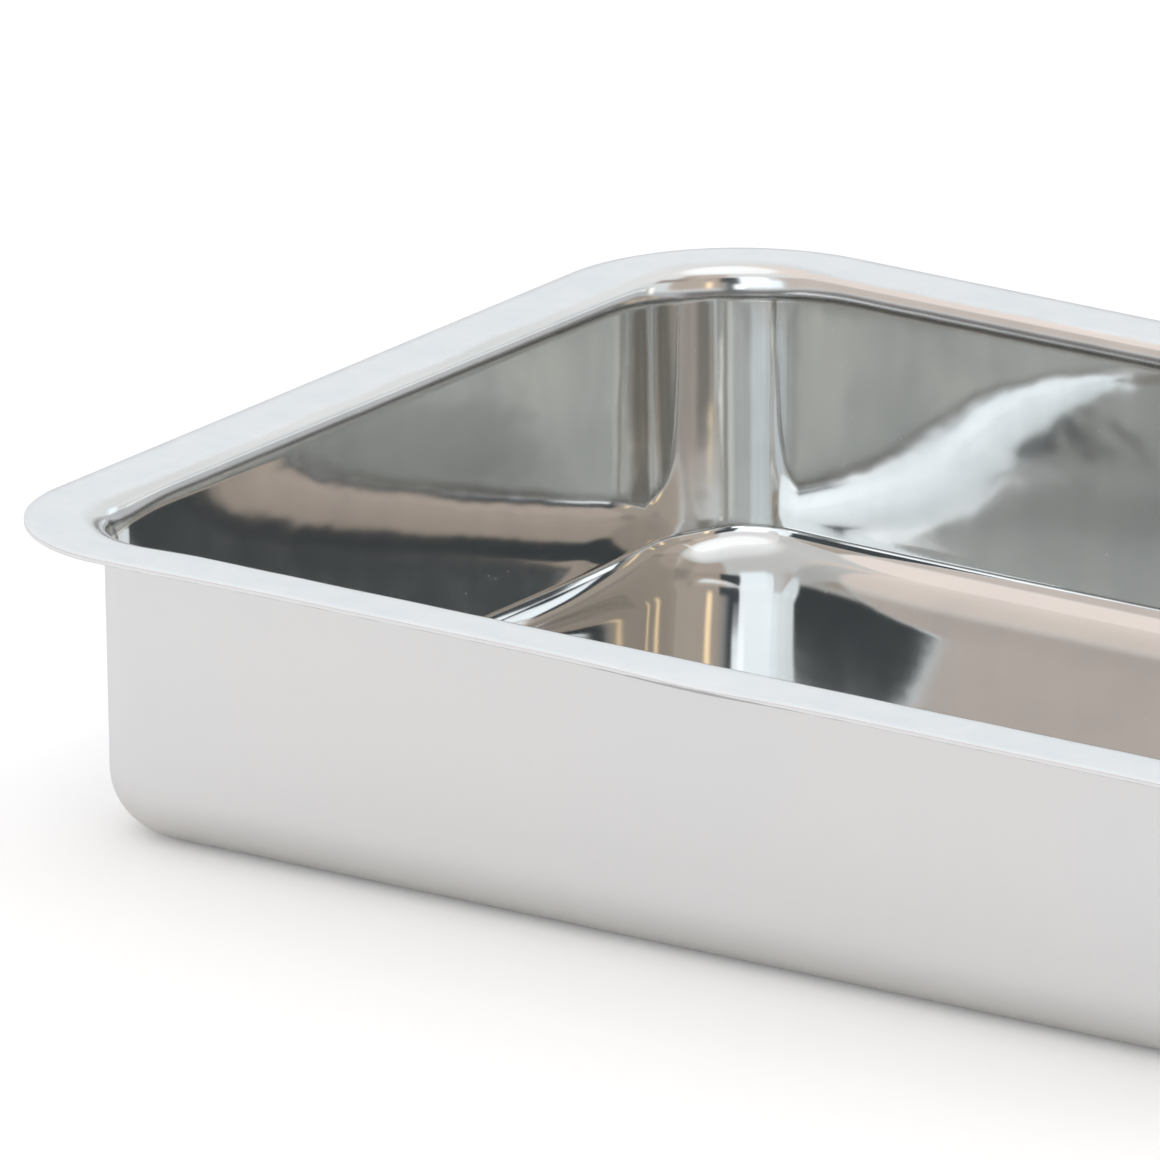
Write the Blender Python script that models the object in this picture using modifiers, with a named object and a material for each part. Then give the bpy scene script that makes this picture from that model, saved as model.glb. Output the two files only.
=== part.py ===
"""Developing tray: a shallow darkroom tray deep-drawn from one stainless sheet.

Units are metres, +Z is up and +X runs along the long side. The origin is the
centre of the underside, so the tray stands on Z = 0.

One open surface, the inside and top face of the sheet, is modelled and Solidify
gives it the sheet's thickness. It starts as the flat floor and is extruded
outward ring by ring through the floor radius, the drafted wall, the roll and
the flat rim. All rings share the same corner centres, so their corners stay
concentric.
"""

import math

import bmesh
import bpy
from mathutils import Vector

# Dimensions
LENGTH = 0.340  # over the rim, along X
WIDTH = 0.250  # over the rim, along Y
HEIGHT = 0.064  # underside of the floor to the top of the rim
SHEET = 0.0010  # sheet thickness
RIM_FLAT = 0.0124  # flat part of the rim, from the roll to the trimmed edge
ROLL_RADIUS = 0.0030  # roll between wall and rim, on its top face
FLOOR_RADIUS = 0.0120  # floor to wall, on the inside face
CORNER_RADIUS = 0.0215  # upright corner, on the inside face at the top of the wall
DRAFT = math.radians(1.2)  # the wall leans outward by this much

# Facets
CORNER_STEPS = 16  # round each upright corner
FLOOR_STEPS = 9  # across the floor radius
ROLL_STEPS = 7  # across the roll
SHARP_ANGLE = math.radians(40)  # edges folded more than this are shaded sharp

STEEL_COLOUR = (0.74, 0.74, 0.73, 1.0)
STEEL_ROUGHNESS = 0.18


def clear_scene():
    for obj in list(bpy.data.objects):
        bpy.data.objects.remove(obj, do_unlink=True)


def wall_section():
    """Inside face as (outward offset, height) points, and the offset of the wall's top.

    Offsets are from the floor's edge. The floor radius and the roll are both
    tangent to the drafted wall: the first ends, and the second starts, where
    its tangent leans by DRAFT.
    """
    sweep = math.pi / 2 - DRAFT
    section = []
    for i in range(FLOOR_STEPS + 1):
        angle = sweep * i / FLOOR_STEPS
        offset = FLOOR_RADIUS * math.sin(angle)
        height = SHEET + FLOOR_RADIUS * (1 - math.cos(angle))
        section.append((offset, height))

    foot_offset, foot_height = section[-1]
    roll_centre_height = HEIGHT - ROLL_RADIUS
    wall_top_height = roll_centre_height + ROLL_RADIUS * math.sin(DRAFT)
    wall_top_offset = foot_offset + math.tan(DRAFT) * (wall_top_height - foot_height)
    roll_centre_offset = wall_top_offset + ROLL_RADIUS * math.cos(DRAFT)
    for i in range(ROLL_STEPS + 1):
        angle = DRAFT + sweep * i / ROLL_STEPS
        offset = roll_centre_offset - ROLL_RADIUS * math.cos(angle)
        height = roll_centre_height + ROLL_RADIUS * math.sin(angle)
        section.append((offset, height))

    section.append((section[-1][0] + RIM_FLAT, HEIGHT))
    return section, wall_top_offset


def add_floor(bm, half_x, half_y, radius):
    """The flat floor: a rectangle whose four corners are bevelled round."""
    bmesh.ops.create_grid(bm, x_segments=1, y_segments=1, size=1.0)
    for vert in bm.verts:
        vert.co = Vector((vert.co.x * half_x, vert.co.y * half_y, SHEET))
    bmesh.ops.bevel(
        bm,
        geom=list(bm.verts),
        offset=radius,
        offset_type="OFFSET",
        segments=CORNER_STEPS,
        profile=0.5,  # circular arc
        affect="VERTICES",
        clamp_overlap=False,
    )


def outward(point, centre_x, centre_y):
    """Unit plan direction to a point from the corner centre in its quadrant."""
    away_x = point.x - math.copysign(centre_x, point.x)
    away_y = point.y - math.copysign(centre_y, point.y)
    return Vector((away_x, away_y, 0)).normalized()


def draw_up(bm, section, centre_x, centre_y):
    """Extrude the floor's edge through every step of the wall section."""
    ring = [edge for edge in bm.edges if edge.is_boundary]
    for (last_offset, _), (offset, height) in zip(section, section[1:]):
        made = bmesh.ops.extrude_edge_only(bm, edges=ring)["geom"]
        for vert in made:
            if isinstance(vert, bmesh.types.BMVert):
                vert.co += outward(vert.co, centre_x, centre_y) * (offset - last_offset)
                vert.co.z = height
        ring = [item for item in made if isinstance(item, bmesh.types.BMEdge) and item.is_boundary]


def face_up(bm):
    """Turn the normals to the inside of the tray, so that the floor faces up."""
    bmesh.ops.recalc_face_normals(bm, faces=bm.faces)
    floor = max(bm.faces, key=lambda face: face.calc_area())
    if floor.normal.z < 0:
        bmesh.ops.reverse_faces(bm, faces=bm.faces)


def tray_mesh():
    section, wall_top_offset = wall_section()
    reach = section[-1][0]  # floor edge to trimmed edge of the rim
    floor_corner = CORNER_RADIUS - wall_top_offset
    half_x = LENGTH / 2 - reach
    half_y = WIDTH / 2 - reach

    bm = bmesh.new()
    add_floor(bm, half_x, half_y, floor_corner)
    draw_up(bm, section, half_x - floor_corner, half_y - floor_corner)
    face_up(bm)

    mesh = bpy.data.meshes.new("tray_shell")
    bm.to_mesh(mesh)
    bm.free()
    mesh.shade_smooth()
    mesh.set_sharp_from_angle(angle=SHARP_ANGLE)
    return mesh


def steel():
    material = bpy.data.materials.new("stainless_sheet")
    material.use_nodes = True
    shader = material.node_tree.nodes["Principled BSDF"]
    shader.inputs["Base Color"].default_value = STEEL_COLOUR
    shader.inputs["Metallic"].default_value = 1.0
    shader.inputs["Roughness"].default_value = STEEL_ROUGHNESS
    material.diffuse_color = STEEL_COLOUR
    return material


def add_thickness(tray):
    sheet = tray.modifiers.new("sheet", "SOLIDIFY")
    sheet.thickness = SHEET
    sheet.offset = -1.0  # all the metal lies below and outside the modelled face
    sheet.use_even_offset = True
    sheet.use_rim = True


def main():
    clear_scene()
    collection = bpy.data.collections.new("developing_tray")
    bpy.context.scene.collection.children.link(collection)

    tray = bpy.data.objects.new("tray_shell", tray_mesh())
    collection.objects.link(tray)
    tray.data.materials.append(steel())
    add_thickness(tray)


main()
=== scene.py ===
"""Looks of the developing tray: deep-drawn stainless, mirror-polished inside, satin outside and rim.

The tray is centred on the origin and stands on z = 0. Its long sides run along X, with the
front at -Y and the right end at +X.
"""

import math

import bpy
import numpy as np
from mathutils import Matrix, Vector


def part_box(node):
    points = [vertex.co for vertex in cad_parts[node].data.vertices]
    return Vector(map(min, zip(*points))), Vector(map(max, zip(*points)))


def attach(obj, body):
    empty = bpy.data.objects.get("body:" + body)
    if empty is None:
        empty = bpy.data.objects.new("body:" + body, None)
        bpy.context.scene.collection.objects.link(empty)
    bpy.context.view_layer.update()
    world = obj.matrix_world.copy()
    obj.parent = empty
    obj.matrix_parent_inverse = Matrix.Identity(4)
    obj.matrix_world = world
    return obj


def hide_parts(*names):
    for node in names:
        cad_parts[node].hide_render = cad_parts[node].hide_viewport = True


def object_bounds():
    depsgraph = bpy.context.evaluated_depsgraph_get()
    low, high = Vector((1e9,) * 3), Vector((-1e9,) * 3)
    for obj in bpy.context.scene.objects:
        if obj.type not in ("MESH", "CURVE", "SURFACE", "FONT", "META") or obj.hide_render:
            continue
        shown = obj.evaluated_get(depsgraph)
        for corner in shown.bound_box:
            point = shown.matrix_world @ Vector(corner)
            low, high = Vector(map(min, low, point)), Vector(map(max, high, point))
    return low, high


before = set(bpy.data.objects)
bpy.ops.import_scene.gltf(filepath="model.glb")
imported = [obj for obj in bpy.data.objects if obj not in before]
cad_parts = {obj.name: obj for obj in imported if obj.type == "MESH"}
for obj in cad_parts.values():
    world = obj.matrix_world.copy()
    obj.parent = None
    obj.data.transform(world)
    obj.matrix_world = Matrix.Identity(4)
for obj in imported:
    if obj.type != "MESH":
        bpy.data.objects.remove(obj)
CAD_LO, CAD_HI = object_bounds()
NODE = "tray_shell"
LO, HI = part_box(NODE)

# ------------------------------------------------------------ drawn section
HALF_L = (HI.x - LO.x) / 2
HALF_W = (HI.y - LO.y) / 2
TOP = HI.z
SHEET = 0.0010
RIM_FLAT = 0.0124
ROLL_R = 0.0030
FLOOR_R = 0.0120
CORNER_R = 0.0215
DRAFT = math.radians(1.2)
EDGE_R = 0.00018  # the sheared edge is broken by this much
INSET = 0.00002  # clearance from the trimmed edge to the CAD box

# The ideal section, from the flat floor's edge outwards.
FLOOR_TURN = math.pi / 2 - DRAFT  # the floor radius turns this far, up to the wall
FOOT_OFF = FLOOR_R * math.sin(FLOOR_TURN)
FOOT_Z = SHEET + FLOOR_R * (1 - math.cos(FLOOR_TURN))
WALL_OFF = FOOT_OFF + math.tan(DRAFT) * (TOP - ROLL_R + ROLL_R * math.sin(DRAFT) - FOOT_Z)
REACH = WALL_OFF + ROLL_R * math.cos(DRAFT) + RIM_FLAT
FLOOR_CORNER = CORNER_R - WALL_OFF
CENTRE_X = HALF_L - REACH - FLOOR_CORNER  # corner centres
CENTRE_Y = HALF_W - REACH - FLOOR_CORNER

# Corners in order round the tray: side in X, side in Y, radius of the rim's trimmed outline.
CORNERS = [
    (1, 1, 0.0380),  # back right
    (-1, 1, 0.0409),  # back left
    (-1, -1, 0.0336),  # front left
    (1, -1, 0.0365),  # front right
]

# ------------------------------------------------------------ mesh divisions
FLOOR_RINGS, FLOOR_STEPS, WALL_STEPS, ROLL_STEPS, RIM_STEPS, EDGE_STEPS = 30, 22, 24, 20, 6, 3
CORNER_STEPS, LONG_STEPS, SHORT_STEPS = 36, 64, 48
RING_CROWDING = 1.5  # above 1, the floor's rings crowd towards its edge
ROLL_START = FLOOR_RINGS + FLOOR_STEPS + WALL_STEPS  # first ring of the roll
RIM_START = ROLL_START + ROLL_STEPS  # first ring of the rim
EDGE_START = RIM_START + RIM_STEPS - 1  # first ring of the sheared edge
INSIDE, OUTSIDE, EDGE = 0, 1, 2  # material slots

# ------------------------------------------------------------ pressed sheet
# How the inside face stands off the ideal one. In a pair, the first value is for the
# long walls and the second for the short ones.
FOOT_OUT = (0.0189, 0.0114)  # inside floor radius, in plan
FOOT_UP = (0.0067, 0.0060)  # inside floor radius, upwards
LIFT = (0.00300, 0.00293)  # the floor lifts by this much as it nears a wall
LIFT_FADE = (0.0224, 0.0411)  # and the lift dies away over this distance
SIDE_BLEND = 0.016  # width of the change from long-wall to short-wall values
LEAN = {"front": 0.0065, "back": 0.0022, "left": 0.0379, "right": 0.0052}  # extra, mid-span
LEAN_TWIST = -0.0222  # change of the back wall's lean per metre towards the right
LEAN_CURL = -0.434  # how the lean is shared out between foot and top
LEAN_FADE = 0.0397  # the lean dies away over this length towards a corner
LEAN_OVERRUN = 0.006  # and ends this far past the corner centre
LEAN_SOFT = 0.008  # rounds the start of the lean at the foot
BOW = {"back": 0.00063, "left": -0.00017}  # mid-height bow, outwards
INNER_DRAFT = math.radians(1.016)
INNER_CORNER = 0.02286
INNER_X = HALF_L - RIM_FLAT - ROLL_R - INNER_CORNER  # inside corner centres
INNER_Y = HALF_W - RIM_FLAT - ROLL_R - INNER_CORNER

# The roll, along the walls and round the corners.
ROLL_OUT = (0.0030, 0.0056)  # its reach over the rim
ROLL_DOWN = (0.0052, 0.0072)  # and down the wall
ROLL_BLEND = 0.012  # half width of the change between the two
SLOW_TURN = math.radians(20.0)  # turn of the slow arc off the wall
SLOW_R = 3.6  # its radius, against 1 for the tight arc

# The front rim is not quite true at its trimmed edge.
FRONT_FROM, FRONT_FADE = 0.72, 0.12  # start and ramp of the front zone, in half widths
DROOP, DROOP_X, DROOP_WIDTH = 0.00052, 0.006, 0.017  # depth, place and spread of a dip
DROOP_POWER = 1.5  # growth of the dip across the rim
NARROW = 0.0009  # the rim is narrower by this much between the next two stations
NARROW_LEFT, NARROW_LEFT_FADE = -0.135, 0.04
NARROW_RIGHT, NARROW_RIGHT_FADE = 0.010, 0.05


def smooth(t):
    t = np.clip(t, 0.0, 1.0)
    return t * t * (3 - 2 * t)


def between(pair, share):
    return pair[0] * (1 - share) + pair[1] * share


def level_ring(xy, z):
    """A ring of points from plan places and one height or a height for each."""
    return np.column_stack([xy, np.broadcast_to(z, len(xy))])


# ----------------------------------------------------------------- outlines
def trim_point(corner, angle):
    """Point on the trimmed outline's corner arc."""
    side_x, side_y, radius = CORNERS[corner]
    return np.array((
        side_x * (HALF_L - INSET - radius) + radius * math.cos(angle),
        side_y * (HALF_W - INSET - radius) + radius * math.sin(angle),
    ))


def perimeter():
    """Samples round the tray: corner-centre point, plan direction and trimmed-edge point."""
    base, way, edge = [], [], []
    centres = [np.array((sx * CENTRE_X, sy * CENTRE_Y)) for sx, sy, _ in CORNERS]
    for k, centre in enumerate(centres):
        following = (k + 1) % 4
        for i in range(CORNER_STEPS):
            angle = math.pi / 2 * (k + i / CORNER_STEPS)
            base.append(centre)
            way.append((math.cos(angle), math.sin(angle)))
            edge.append(trim_point(k, angle))
        angle = math.pi / 2 * (k + 1)
        start, end = trim_point(k, angle), trim_point(following, angle)
        steps = LONG_STEPS if k in (0, 2) else SHORT_STEPS
        for i in range(steps):
            t = i / steps
            base.append(centre + (centres[following] - centre) * t)
            way.append((math.cos(angle), math.sin(angle)))
            edge.append(start + (end - start) * t)
    return np.array(base), np.array(way), np.array(edge)


def roll_size(base, way):
    """How far the roll reaches outwards and downwards: it grows round the corners."""
    x, y = np.abs(base + way * CORNER_R).T
    deep = np.minimum(x - CENTRE_X, y - CENTRE_Y)
    corner = smooth((deep + ROLL_BLEND) / (2 * ROLL_BLEND))
    return between(ROLL_OUT, corner), between(ROLL_DOWN, corner)


def roll_profile():
    """Shares (across, up) along the roll: a slow arc off the wall, then a tight one to the rim."""
    slow_x, slow_z = SLOW_R * (1 - math.cos(SLOW_TURN)), SLOW_R * math.sin(SLOW_TURN)
    points = []
    for i in range(1, ROLL_STEPS + 1):
        t = i / ROLL_STEPS
        if t <= 0.5:
            a = SLOW_TURN * t / 0.5
            points.append((SLOW_R * (1 - math.cos(a)), SLOW_R * math.sin(a)))
        else:
            a = SLOW_TURN + (math.pi / 2 - SLOW_TURN) * (t - 0.5) / 0.5
            x = slow_x + math.cos(SLOW_TURN) - math.cos(a)
            z = slow_z + math.sin(a) - math.sin(SLOW_TURN)
            points.append((x, z))
    far, high = points[-1]
    return [(x / far, z / high) for x, z in points]


def floor_shares():
    """Size of each floor ring against the floor's edge."""
    return [1 - (1 - i / FLOOR_RINGS) ** RING_CROWDING for i in range(1, FLOOR_RINGS + 1)]


# -------------------------------------------------------------- inside face
def by_side(pair, x, y):
    """The long-wall or short-wall value of a pair, blended at the corners."""
    beyond = np.abs(x) - INNER_X - np.abs(y) + INNER_Y
    return between(pair, smooth(beyond / SIDE_BLEND + 0.5))


def drafted(drop):
    """Reach of the plain inside wall at a distance below its top."""
    return INNER_CORNER - math.tan(INNER_DRAFT) * drop


def soft_rise(height):
    return (height + np.sqrt(height * height + LEAN_SOFT**2)) / 2


def wall_reach(x, y, z, top):
    """Distance of the inside wall from the corner centres at height z."""
    foot = by_side(FOOT_UP, x, y)
    height, whole = z - foot, top - foot
    level = np.clip(height / whole, 0, 1)
    share = 1 + LEAN_CURL * (level - 0.5)
    bow = 16 * (level * (1 - level)) ** 2 * share
    # nothing at the top, inwards at the foot
    hang = soft_rise(height) * share - soft_rise(whole) * (1 + LEAN_CURL * 0.5)
    back_lean = LEAN["back"] + LEAN_TWIST * x
    long_out = np.where(y < 0, LEAN["front"] * hang, back_lean * hang + BOW["back"] * bow)
    short_out = np.where(x < 0, LEAN["left"] * hang + BOW["left"] * bow, LEAN["right"] * hang)
    long_out = long_out * smooth((INNER_X + LEAN_OVERRUN - np.abs(x)) / LEAN_FADE)
    short_out = short_out * smooth((INNER_Y + LEAN_OVERRUN - np.abs(y)) / LEAN_FADE)
    is_short = (np.abs(x) - INNER_X) > (np.abs(y) - INNER_Y)
    return drafted(top - z) + np.where(is_short, short_out, long_out)


def floor_lift(across, limit, height, fade):
    """Lift of the floor towards the two walls that stand at plus and minus limit."""
    near = np.exp(np.minimum(across - limit, 0) / fade)
    far = np.exp(np.minimum(-across - limit, 0) / fade)
    return height * (near + far)


def floor_height(x, y, top):
    reach = drafted(top - by_side(FOOT_UP, x, y))
    lift_y = floor_lift(y, reach + INNER_Y, LIFT[0], LIFT_FADE[0])
    lift_x = floor_lift(x, reach + INNER_X, LIFT[1], LIFT_FADE[1])
    return SHEET + np.hypot(lift_y, lift_x)


def foot_ring(hub, way, top, angle):
    """Ring on the floor radius, at an angle round it from the floor."""
    reach = np.full(len(hub), INNER_CORNER - 0.005)  # first guess
    for _ in range(8):
        x, y = (hub + way * reach[:, None]).T
        z = floor_height(x, y, top) + by_side(FOOT_UP, x, y) * (1 - math.cos(angle))
        reach = wall_reach(x, y, z, top) - by_side(FOOT_OUT, x, y) * (1 - math.sin(angle))
    return level_ring(hub + way * reach[:, None], z)


def inner_face(base, way, top):
    """Rings of the inside face from the centre to the foot of the roll."""
    hub = base * (INNER_X / CENTRE_X, INNER_Y / CENTRE_Y)
    rings = []
    floor_edge = foot_ring(hub, way, top, 0.0)[:, :2]
    for share in floor_shares():
        xy = floor_edge * share
        rings.append(level_ring(xy, floor_height(xy[:, 0], xy[:, 1], top)))
    for i in range(1, FLOOR_STEPS + 1):
        rings.append(foot_ring(hub, way, top, math.pi / 2 * i / FLOOR_STEPS))
    foot = rings[-1]
    for i in range(1, WALL_STEPS + 1):
        z = foot[:, 2] + (top - foot[:, 2]) * i / WALL_STEPS
        reach = np.linalg.norm(foot[:, :2] - hub, axis=1)
        for _ in range(6):
            x, y = (hub + way * reach[:, None]).T
            reach = wall_reach(x, y, z, top)
        rings.append(level_ring(hub + way * reach[:, None], z))
    return rings


# ------------------------------------------------------------- outside face
def outer_face(base, way, top):
    """Rings of the outside, one sheet outside the ideal inside, in step with the inner rings."""
    radius = FLOOR_R + SHEET
    rings = [level_ring((base + way * FLOOR_CORNER) * share, 0.0) for share in floor_shares()]
    for i in range(1, FLOOR_STEPS + 1):
        angle = FLOOR_TURN * i / FLOOR_STEPS
        reach = FLOOR_CORNER + radius * math.sin(angle)
        rings.append(level_ring(base + way * reach, radius * (1 - math.cos(angle))))
    foot_reach, foot_z = reach, radius * (1 - math.cos(FLOOR_TURN))
    for i in range(1, WALL_STEPS + 1):
        z = foot_z + (top - foot_z) * i / WALL_STEPS
        reach = foot_reach + math.tan(DRAFT) * (z - foot_z)
        rings.append(level_ring(base + way * reach[:, None], z))
    return rings


# --------------------------------------------------------- roll, rim, edge
def roll_rings(start, way, reach, height):
    """Rings from the top of the wall over to the rim at the given height."""
    span = np.column_stack([way * reach[:, None], height - start[:, 2]])
    return [start + span * (across, across, up) for across, up in roll_profile()]


def rim_rings(start, edge, height):
    """Flat rings between the end of the roll and the trimmed edge."""
    xy = start[:, :2]
    return [level_ring(xy + (edge - xy) * i / RIM_STEPS, height) for i in range(1, RIM_STEPS)]


def edge_rings(edge, along, height, down):
    """The broken edge: down is 1 for the upper face and -1 for the lower."""
    rings = []
    for i in range(EDGE_STEPS + 1):
        angle = math.pi / 2 * i / EDGE_STEPS
        xy = edge - along * EDGE_R * (1 - math.sin(angle))
        rings.append(level_ring(xy, height - down * EDGE_R * (1 - math.cos(angle))))
    return rings


def bend_rim(inner, outer, out):
    """Dip and narrow the front rim; out is 0 at the roll and 1 at the trimmed edge."""
    x, y = inner[:, :, 0], inner[:, :, 1]
    front = smooth((-y - HALF_W * FRONT_FROM) / (HALF_W * FRONT_FADE))
    droop = DROOP * np.exp(-(((x - DROOP_X) / DROOP_WIDTH) ** 2)) * front
    right_end = smooth((NARROW_RIGHT - x) / NARROW_RIGHT_FADE)
    left_end = smooth((x - NARROW_LEFT) / NARROW_LEFT_FADE)
    narrow = NARROW * right_end * left_end * front
    for face in (inner, outer):
        face[:, :, 2] -= out**DROOP_POWER * droop
        face[:, :, 1] += out * narrow


# --------------------------------------------------------------------- mesh
def shell_faces(rings, count):
    """Faces and their material slots, for two stacks of rings and a centre point for each."""
    low = rings * count
    centre_in, centre_out = 2 * low, 2 * low + 1
    pairs = [(j, (j + 1) % count) for j in range(count)]
    faces, slots = [], []
    for j, k in pairs:
        faces += [(centre_in, j, k), (centre_out, low + k, low + j)]
        slots += [INSIDE, OUTSIDE]
    for i in range(rings - 1):
        a, b = i * count, (i + 1) * count
        pair_slots = [EDGE, EDGE] if i >= EDGE_START else [INSIDE, OUTSIDE]
        for j, k in pairs:
            faces.append((a + j, b + j, b + k, a + k))
            faces.append((low + a + j, low + a + k, low + b + k, low + b + j))
            slots += pair_slots
    last = low - count
    for j, k in pairs:
        faces.append((last + j, low + last + j, low + last + k, last + k))
        slots.append(EDGE)
    return faces, slots


def sheet_places(inner, out):
    """Place on the sheet: 0 to 1 up to the top of the wall, to 2 over the roll, to 3 over the rim."""
    place = np.zeros(out.shape)
    place[:ROLL_START] = np.clip(inner[:ROLL_START, :, 2] / TOP, 0, 1)
    place[ROLL_START:RIM_START] = 1 + np.arange(1, ROLL_STEPS + 1)[:, None] / ROLL_STEPS
    place[RIM_START:] = 2 + out[RIM_START:]
    return place.reshape(-1)


def build_shell():
    base, way, edge = perimeter()
    roll_out, roll_down = roll_size(base, way)
    wall_top = TOP - roll_down
    inner = inner_face(base, way, wall_top)
    outer = outer_face(base, way, wall_top)
    inner += roll_rings(inner[-1], way, roll_out, TOP)
    outer += roll_rings(outer[-1], way, roll_out - SHEET, TOP - SHEET)

    rim_foot = inner[-1][:, :2]
    span = edge - rim_foot
    length = np.linalg.norm(span, axis=1)
    along = span / length[:, None]
    inner += rim_rings(inner[-1], edge, TOP)
    outer += rim_rings(outer[-1], edge, TOP - SHEET)
    inner += edge_rings(edge, along, TOP, down=1)
    outer += edge_rings(edge, along, TOP - SHEET, down=-1)
    inner, outer = np.array(inner), np.array(outer)

    out = np.zeros(inner.shape[:2])
    rim = inner[RIM_START:, :, :2]
    out[RIM_START:] = np.clip(np.linalg.norm(rim - rim_foot, axis=2) / length, 0, 1)
    bend_rim(inner, outer, out)

    centres = [[0.0, 0.0, inner[0, :, 2].mean()], [0.0, 0.0, 0.0]]
    verts = np.concatenate([inner.reshape(-1, 3), outer.reshape(-1, 3), centres])
    faces, slots = shell_faces(*out.shape)
    mesh = bpy.data.meshes.new("tray_sheet")
    mesh.from_pydata(verts.tolist(), [], faces)
    mesh.update()
    mesh.polygons.foreach_set("material_index", slots)
    place = sheet_places(inner, out)
    layer = mesh.attributes.new("place", "FLOAT", "POINT")
    layer.data.foreach_set("value", np.concatenate([place, place, [0, 0]]).astype(np.float32))
    mesh.shade_smooth()
    return mesh


# ------------------------------------------------------------- node helpers
class NodeNet:
    """A short way to write a node tree."""

    def __init__(self, tree):
        self.tree = tree
        tree.nodes.clear()

    def add(self, kind, inputs=None, **settings):
        node = self.tree.nodes.new(kind)
        for key, value in settings.items():
            setattr(node, key, value)
        for key, value in (inputs or {}).items():
            self.put(node, key, value)
        return node

    def put(self, node, key, value):
        socket = node.inputs[key]
        if isinstance(value, bpy.types.NodeSocket):
            self.tree.links.new(value, socket)
        elif isinstance(value, bpy.types.Node):
            self.tree.links.new(value.outputs[0], socket)
        else:
            socket.default_value = value

    def math(self, op, a, b=0.0, c=0.0):
        return self.add("ShaderNodeMath", {0: a, 1: b, 2: c}, operation=op).outputs[0]

    def times(self, a, b):
        return self.math("MULTIPLY", a, b)

    def scaled(self, value, by, onto):
        return self.math("MULTIPLY_ADD", value, by, onto)

    def most(self, first, *others):
        for other in others:
            first = self.math("MAXIMUM", first, other)
        return first

    def step(self, value, start, end, low=0.0, high=1.0):
        """Smooth step from low to high as value goes from start to end."""
        ends = {"From Min": start, "From Max": end, "To Min": low, "To Max": high}
        node = self.add(
            "ShaderNodeMapRange", {"Value": value, **ends}, interpolation_type="SMOOTHSTEP"
        )
        return node.outputs[0]

    def mix(self, share, a, b):
        """Mix of two colours."""
        inputs = {0: share, 6: a, 7: b}
        return self.add("ShaderNodeMix", inputs, data_type="RGBA", clamp_factor=True).outputs[2]

    def mixf(self, share, a, b):
        """Mix of two numbers."""
        inputs = {0: share, 2: a, 3: b}
        return self.add("ShaderNodeMix", inputs, data_type="FLOAT", clamp_factor=True).outputs[0]

    def axes(self, vector):
        return self.add("ShaderNodeSeparateXYZ", {0: vector}).outputs

    def position(self):
        return self.add("ShaderNodeTexCoord").outputs["Object"]

    def mapped(self, coords, **moves):
        return self.add("ShaderNodeMapping", {"Vector": coords, **moves})

    def noise(self, coords, scale, detail, rough=0.5):
        inputs = {"Vector": coords, "Scale": scale, "Detail": detail, "Roughness": rough}
        return self.add("ShaderNodeTexNoise", inputs).outputs[0]

    def bump(self, height, distance, under=None):
        """Relief, laid over the relief under it if there is one."""
        inputs = {"Height": height, "Distance": distance, "Strength": 1.0}
        if under:
            inputs["Normal"] = under
        return self.add("ShaderNodeBump", inputs)

    def steel(self, colour, rough, normal):
        looks = {"Base Color": colour, "Metallic": 1.0, "Roughness": rough, "Normal": normal}
        shader = self.add("ShaderNodeBsdfPrincipled", looks)
        self.add("ShaderNodeOutputMaterial", {"Surface": shader})

    def by_ray(self, output, others, camera):
        """Output with one shader for camera rays and another for all other rays."""
        is_camera = self.add("ShaderNodeLightPath").outputs["Is Camera Ray"]
        shader = self.add("ShaderNodeMixShader", {0: is_camera, 1: others, 2: camera})
        self.add(output, {"Surface": shader})


def rgb(r, g, b):
    return (r, g, b, 1.0)


def material(name):
    mat = bpy.data.materials.new(name)
    mat.use_nodes = True
    return mat, NodeNet(mat.node_tree)


def stretched(net, pos, squeeze, scale, detail=3.0, rough=0.55):
    """Noise drawn out along the axes whose squeeze is below 1."""
    return net.noise(net.mapped(pos, Scale=squeeze), scale, detail, rough)


def cloud(net, pos, scale, detail=2.0, rough=0.5, shift=0.0):
    moved = net.mapped(pos, Location=(shift, shift * 0.7, shift * 1.3))
    return net.noise(moved, scale, detail, rough)


def facing(net):
    """How much the sheet faces along X and along Z, 0 to 1, from its true normal."""
    normal = net.axes(net.add("ShaderNodeNewGeometry").outputs["Normal"])
    along = [net.math("ABSOLUTE", normal[axis]) for axis in (0, 2)]
    return [net.step(value, start=0.55, end=0.80) for value in along]


def round_lines(net, pos, facing_x, scale, pull, detail=3.0):
    """Fine lines round the tray: along Y on the short walls, along X elsewhere."""
    along_x = stretched(net, pos, (1.0 / pull, 1.0, 1.0), scale, detail)
    along_y = stretched(net, pos, (1.0, 1.0 / pull, 1.0), scale, detail)
    return net.mixf(facing_x, along_x, along_y)


def specks(net, pos, scale, radius, share, shift):
    """Scattered tiny spots: 1 inside a spot. Only a share of the cells holds one."""
    moved = net.mapped(pos, Location=(shift, shift, shift))
    cells = net.add("ShaderNodeTexVoronoi", {"Vector": moved, "Scale": scale}, feature="F1")
    near = net.step(cells.outputs["Distance"], radius * 0.5, radius, low=1.0, high=0.0)
    pick = net.add("ShaderNodeSeparateColor", {0: cells.outputs["Color"]})
    return net.times(near, net.math("LESS_THAN", pick.outputs[0], share))


def hairlines(net, pos, turn, scale, pull, cut, shift):
    """Sparse short hairline scratches, all running one way."""
    turned = net.mapped(pos, Rotation=turn, Location=(shift, shift, shift))
    lines = net.noise(net.mapped(turned, Scale=(1.0 / pull, 1.0, 1.0)), scale, detail=0.0)
    return net.step(lines, cut, cut + 0.03)


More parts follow.
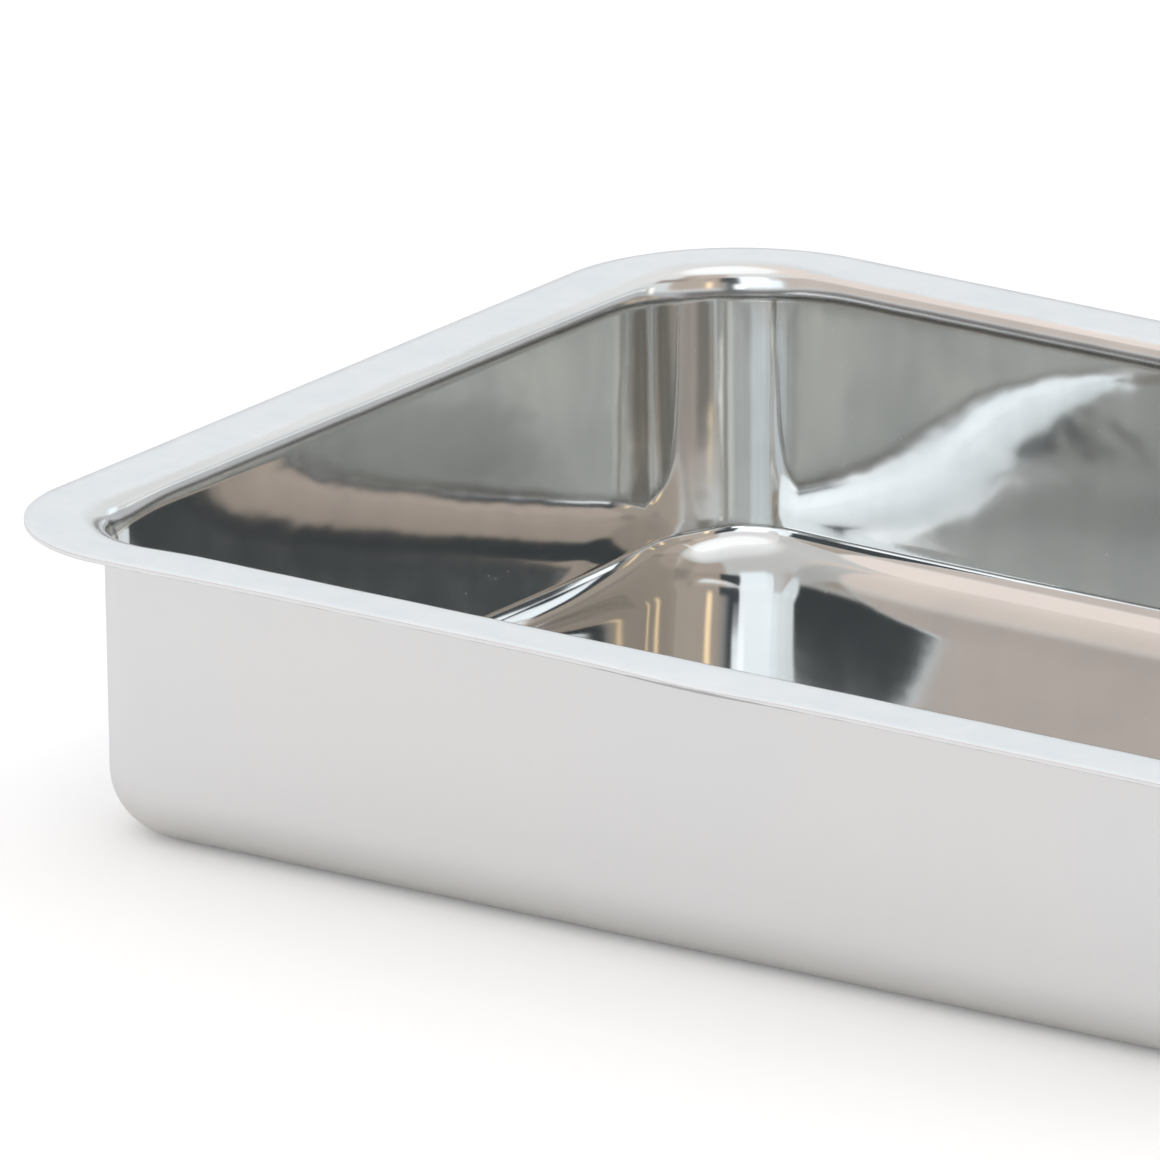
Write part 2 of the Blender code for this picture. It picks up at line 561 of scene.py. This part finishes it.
# ---------------------------------------------------------------- materials
def polished(net, pos, place, facing_x, facing_z):
    """Colour, roughness and relief of the polished steel: buffing lines, haze and small marks."""
    buff = round_lines(net, pos, facing_x, scale=900.0, pull=22.0)
    haze = cloud(net, pos, scale=24.0, detail=4.0, rough=0.62, shift=3.1)
    dots = specks(net, pos, scale=85.0, radius=0.034, share=0.16, shift=0.37)
    pits = specks(net, pos, scale=420.0, radius=0.070, share=0.05, shift=1.71)
    scratches = net.most(
        hairlines(net, pos, turn=(0.5, 0.9, 0.4), scale=6500.0, pull=70.0, cut=0.855, shift=0.3),
        hairlines(net, pos, turn=(1.2, 0.2, 1.9), scale=7500.0, pull=90.0, cut=0.855, shift=2.3),
    )
    marks = net.most(dots, pits, net.times(scratches, 0.35))
    rough = net.scaled(haze, by=0.045, onto=0.034)
    rough = net.scaled(buff, by=0.022, onto=rough)
    rough = net.scaled(marks, by=0.50, onto=rough)
    # the buff reaches the roll less well
    rough = net.math("ADD", rough, net.step(place, start=0.90, end=1.25, high=0.075))

    upright = stretched(net, pos, squeeze=(1.0, 1.0, 0.22), scale=42.0, rough=0.6)
    smear = net.mixf(facing_z, upright, cloud(net, pos, scale=18.0, shift=6.2))
    light, dark, marked = rgb(0.765, 0.764, 0.750), rgb(0.690, 0.694, 0.686), rgb(0.80, 0.80, 0.79)
    tone = net.mix(net.step(smear, start=0.30, end=0.70), light, dark)
    colour = net.mix(net.times(marks, 0.5), tone, marked)

    waves = cloud(net, pos, scale=34.0, detail=1.5, rough=0.45, shift=7.7)
    swell = net.bump(waves, distance=50e-6)
    # short waves, on the walls more than on the floor
    short = cloud(net, pos, scale=105.0, detail=1.0, rough=0.4, shift=4.3)
    wall_depth, floor_depth = 48e-6, 5e-6
    ripple = net.bump(short, net.mixf(facing_z, wall_depth, floor_depth), under=swell)
    return colour, rough, net.bump(buff, distance=0.6e-6, under=ripple)


def inside_steel():
    """Mirror-polished inside that turns satin where the roll meets the rim."""
    mat, net = material("polished_inside")
    place = net.add("ShaderNodeAttribute", attribute_name="place").outputs["Fac"]
    pos = net.position()
    facing_x, facing_z = facing(net)
    wander = net.scaled(cloud(net, pos, scale=70.0), by=0.34, onto=-0.17)
    satin = net.step(net.math("ADD", place, wander), start=1.80, end=2.08)
    colour_p, rough_p, relief_p = polished(net, pos, place, facing_x, facing_z)

    # satin: fine grain drawn out along the rim, slight mottling
    grain = round_lines(net, pos, facing_x, scale=2600.0, pull=3.0, detail=2.0)
    blotch = cloud(net, pos, scale=130.0, detail=3.0, rough=0.6, shift=5.0)
    rough_s = net.scaled(grain, by=0.10, onto=net.scaled(blotch, by=0.12, onto=0.26))
    dark, light = rgb(0.838, 0.858, 0.880), rgb(0.872, 0.888, 0.904)
    colour_s = net.mix(net.step(blotch, start=0.32, end=0.68), dark, light)

    rough = net.mixf(satin, rough_p, rough_s)
    colour = net.mix(satin, colour_p, colour_s)
    grain_depth = 4e-6
    fine = net.bump(grain, net.times(satin, grain_depth), under=relief_p)
    net.steel(colour, rough, fine)
    return mat


# Scuffs on the underside: turn about Z, noise scale, pull along the line, cut, shift.
SCUFFS = [
    (0.35, 1500.0, 60.0, 0.70, 0.9),
    (1.2, 1300.0, 50.0, 0.70, 4.9),
    (2.3, 1600.0, 60.0, 0.71, 6.1),
]


def outside_steel():
    """Satin outside: dull skin with faint upright draw lines, a scuffed underside, painted shade at
    the foot and a painted cool reflection on the short walls.
    """
    mat, net = material("satin_outside")
    pos = net.position()
    facing_x, facing_z = facing(net)
    upright = stretched(net, pos, squeeze=(1.0, 1.0, 0.04), scale=520.0)
    slow = stretched(net, pos, squeeze=(1.0, 1.0, 0.25), scale=60.0)
    lying = round_lines(net, pos, facing_x, scale=1500.0, pull=8.0, detail=2.0)
    blotch = cloud(net, pos, scale=48.0, detail=4.0, rough=0.6, shift=2.0)
    grain = cloud(net, pos, scale=3200.0, rough=0.6, shift=9.0)
    wall = net.math("SUBTRACT", 1.0, facing_z)
    height = net.axes(pos)[2]
    underside = net.step(height, start=0.0003, end=0.0030, low=1.0, high=0.0)
    # foot: painted shade, darker and warmer towards the bottom of the outside
    foot = net.step(height, start=0.0020, end=0.0150, low=1.0, high=0.0)
    lines = [hairlines(net, pos, (0, 0, turn), *line) for turn, *line in SCUFFS]
    scuff = net.times(net.most(*lines), underside)
    nicks = specks(net, pos, scale=160.0, radius=0.05, share=0.05, shift=4.4)

    rough = net.scaled(blotch, by=0.09, onto=0.35)
    rough = net.scaled(net.times(upright, wall), by=0.05, onto=rough)
    rough = net.scaled(lying, by=0.05, onto=rough)
    rough = net.scaled(scuff, by=-0.14, onto=rough)
    rough = net.scaled(nicks, by=0.10, onto=rough)

    tone = net.mix(blotch, rgb(0.858, 0.873, 0.886), rgb(0.898, 0.911, 0.922))
    tint = net.step(cloud(net, pos, scale=11.0, shift=8.8), start=0.35, end=0.65)
    layers = [  # where, strength, colour
        (net.times(slow, wall), 0.35, (0.830, 0.843, 0.855)),  # slow upright streaks
        (tint, 0.35, (0.905, 0.895, 0.880)),  # warm patches
        (net.times(facing_x, wall), 0.55, (0.800, 0.830, 0.885)),  # painted cool reflection on the short walls
        (foot, 0.6, (0.780, 0.765, 0.735)),  # painted shade: darker and warmer towards the foot
        (scuff, 0.4, (0.90, 0.90, 0.90)),
    ]
    for where, strength, colour in layers:
        tone = net.mix(net.times(where, strength), tone, rgb(*colour))

    line_depth = 3e-6
    drawn = net.bump(upright, net.times(wall, line_depth))
    dull = net.bump(grain, distance=2.2e-6, under=drawn)
    net.steel(tone, rough, net.bump(scuff, distance=-6e-6, under=dull))
    return mat


def edge_steel():
    """Sheared edge: a burnished band above and a duller fracture band below, whose dark colour is
    partly painted shade.
    """
    mat, net = material("sheared_edge")
    pos = net.position()
    tears = stretched(net, pos, squeeze=(1.0, 1.0, 0.10), scale=4200.0)
    wavy = cloud(net, pos, scale=160.0, shift=1.0)
    level = net.scaled(wavy, by=0.0004, onto=net.axes(pos)[2])
    torn_end, clean_start = TOP - SHEET * 0.82, TOP - SHEET * 0.58
    torn_and_shade = net.step(level, torn_end, clean_start, low=1.0, high=0.0)
    # each mix goes from the burnished band to the fracture band
    rough = net.scaled(tears, by=0.12, onto=net.mixf(torn_and_shade, 0.27, 0.46))
    # the fracture band's dark grey is partly its duller steel and partly painted shade under the rim
    colour = net.mix(torn_and_shade, rgb(0.90, 0.91, 0.93), rgb(0.54, 0.54, 0.56))
    net.steel(colour, rough, net.bump(tears, net.mixf(torn_and_shade, 2e-6, 10e-6)))
    return mat


# ------------------------------------------------------------------- studio
# The room as the steel sees it, by direction: azimuth from +X towards +Y and elevation, degrees.
SKY = [  # elevation, colour
    (-90, (0.80, 0.78, 0.76)),
    (-3, (0.84, 0.82, 0.80)),
    (-1, (0.22, 0.21, 0.21)),
    (7, (0.22, 0.21, 0.21)),
    (12.5, (0.92, 0.96, 0.98)),
    (60, (1.00, 1.00, 1.00)),
    (72, (1.35, 1.36, 1.38)),
    (90, (1.40, 1.41, 1.42)),
]
CARDS = [  # azimuth, half width, softness, elevation from, to, softness, colour
    (55, 55, 30, -8, 9, 4, (0.60, 0.62, 0.65)),  # low grey wall, back right
    (-145, 38, 18, 12, 47, 8, (0.74, 0.66, 0.62)),  # warm wall, front left
    (-157, 7, 6, 6, 24, 6, (0.42, 0.40, 0.37)),  # a gap in it
    (180, 46, 20, 47, 68, 8, (1.10, 0.98, 0.92)),  # warm ceiling, left
    (49, 3.5, 3, 13, 19, 3, (1.26, 1.27, 1.24)),  # light and shade, back right
    (44.5, 2.2, 2, 8, 20, 3, (0.60, 0.58, 0.55)),
    (38.5, 3, 2, 8, 20, 3, (1.60, 1.60, 1.52)),
    (79, 9, 7, 10, 24, 4, (1.22, 1.32, 1.40)),
    (58, 12, 8, 18.5, 22.5, 2.5, (0.70, 0.72, 0.73)),
    (-14, 30, 10, 14, 60, 5, (0.62, 0.54, 0.47)),  # beige wall, right
    (20, 24, 12, 34, 46, 6, (0.45, 0.40, 0.36)),  # its shaded end
    (-26, 18, 10, 43, 60, 6, (0.74, 0.63, 0.56)),  # its lit upper part
    (-55, 11, 16, 8, 29, 3, (0.085, 0.095, 0.105)),  # the dark round the camera
    (-51, 12, 4, 26, 42, 4, (0.085, 0.097, 0.108)),
    (-97, 9, 5, 14, 30, 5, (1.30, 1.42, 1.52)),  # soft edge of the softbox
    (-77, 17, 2, 15, 44, 5, (1.46, 1.56, 1.66)),  # tall softbox
    (-74, 14, 6, 30, 46, 6, (1.56, 1.68, 1.80)),
    (-60, 6, 3, 12, 22, 2, (1.85, 1.94, 2.05)),  # its bright near edge
    (-29, 2.5, 5, 15, 27, 4, (1.85, 1.42, 0.92)),  # small warm lamp
]
CARD_OPACITY = 1.0


def studio_world():
    """Soft white studio with a dark camera side; the camera itself sees plain white paper."""
    world = bpy.data.worlds.new("studio")
    bpy.context.scene.world = world
    world.use_nodes = True
    net = NodeNet(world.node_tree)
    generated = net.add("ShaderNodeTexCoord").outputs["Generated"]
    way = net.axes(net.add("ShaderNodeVectorMath", {0: generated}, operation="NORMALIZE"))
    degrees = 180.0 / math.pi
    azimuth = net.times(net.math("ARCTAN2", way[1], way[0]), degrees)
    elevation = net.times(net.math("ARCSINE", way[2]), degrees)

    def rising(value, at, soft):
        return net.step(value, at - soft / 2, at + soft / 2)

    def falling(value, at, soft):
        return net.step(value, at - soft / 2, at + soft / 2, low=1.0, high=0.0)

    colour = rgb(*SKY[0][1])
    for (start, _), (end, tone) in zip(SKY, SKY[1:]):
        colour = net.mix(net.step(elevation, start, end), colour, rgb(*tone))
    for centre, half, soft, bottom, top, end_soft, tone in CARDS:
        turn = net.math("WRAP", net.math("SUBTRACT", azimuth, centre), 180.0, -180.0)
        inside = falling(net.math("ABSOLUTE", turn), half, soft)
        above = rising(elevation, bottom, end_soft)
        below = falling(elevation, top, end_soft)
        mask = net.times(net.times(inside, above), net.times(below, CARD_OPACITY))
        colour = net.mix(mask, colour, rgb(*tone))
    sky = net.add("ShaderNodeBackground", {"Color": colour, "Strength": 1.0})
    paper = net.add("ShaderNodeBackground", {"Color": rgb(1, 1, 1), "Strength": 1.0})
    net.by_ray("ShaderNodeOutputWorld", others=sky, camera=paper)


def floor():
    """White paper just below the tray, brighter to the camera than to the steel."""
    half, gap = 60.0, 0.0002
    mesh = bpy.data.meshes.new("studio_floor")
    corners = [(-half, -half, 0), (half, -half, 0), (half, half, 0), (-half, half, 0)]
    mesh.from_pydata(corners, [], [(0, 1, 2, 3)])
    obj = bpy.data.objects.new("studio_floor", mesh)
    bpy.context.scene.collection.objects.link(obj)
    obj.location.z = CAD_LO.z - gap
    mat, net = material("studio_paper")
    matt = net.add("ShaderNodeBsdfDiffuse", {"Color": rgb(0.92, 0.915, 0.91)})
    lit = net.add("ShaderNodeBsdfDiffuse", {"Color": rgb(0.97, 0.97, 0.97)})
    glow = net.add("ShaderNodeEmission", {"Color": rgb(1, 1, 1), "Strength": 0.16})
    seen = net.add("ShaderNodeAddShader", {0: lit, 1: glow})
    net.by_ray("ShaderNodeOutputMaterial", others=matt, camera=seen)
    mesh.materials.append(mat)


# The view. Lengths marked "widths" are in tray widths.
AZIMUTH = math.radians(35.10)  # from the front towards the right
ELEVATION = math.radians(17.41)
VIEW_ANGLE = 0.026  # tray width over camera distance
AIM_IN, AIM_DOWN = 0.6, 0.12  # aim point, from the left end and below the top, widths
AIM_RIGHT, AIM_LOW = 0.2898039, 0.05568627  # aim point from the picture's centre, widths
SENSOR, LENS = 36.0, 1521.8833  # millimetres


def camera():
    """A long lens, three-quarter from above: left end in view, right end past the frame."""
    width = 2 * HALF_W
    aim = Vector((-HALF_L + AIM_IN * width, 0.0, TOP - AIM_DOWN * width))
    level = math.cos(ELEVATION)
    forward = Vector((
        -math.sin(AZIMUTH) * level, math.cos(AZIMUTH) * level, -math.sin(ELEVATION)
    ))
    right = forward.cross(Vector((0, 0, 1))).normalized()
    up = right.cross(forward)
    data = bpy.data.cameras.new("camera")
    data.sensor_width = SENSOR
    data.lens = LENS
    data.clip_start, data.clip_end = 0.5, 200.0
    cam = bpy.data.objects.new("camera", data)
    bpy.context.scene.collection.objects.link(cam)
    offset = -right * AIM_RIGHT + up * AIM_LOW - forward / VIEW_ANGLE
    turn = Matrix((right, up, -forward)).transposed().to_4x4()
    cam.matrix_world = Matrix.Translation(aim + offset * width) @ turn
    bpy.context.scene.camera = cam


def tray():
    mesh = build_shell()
    for mat in (inside_steel(), outside_steel(), edge_steel()):
        mesh.materials.append(mat)
    obj = bpy.data.objects.new("tray_sheet", mesh)
    bpy.context.scene.collection.objects.link(obj)
    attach(obj, "root")
    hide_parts(NODE)


def main():
    tray()
    studio_world()
    floor()
    camera()
    scene = bpy.context.scene
    scene.view_settings.view_transform = "Standard"
    scene.cycles.max_bounces = 16
    scene.cycles.glossy_bounces = 12


main()
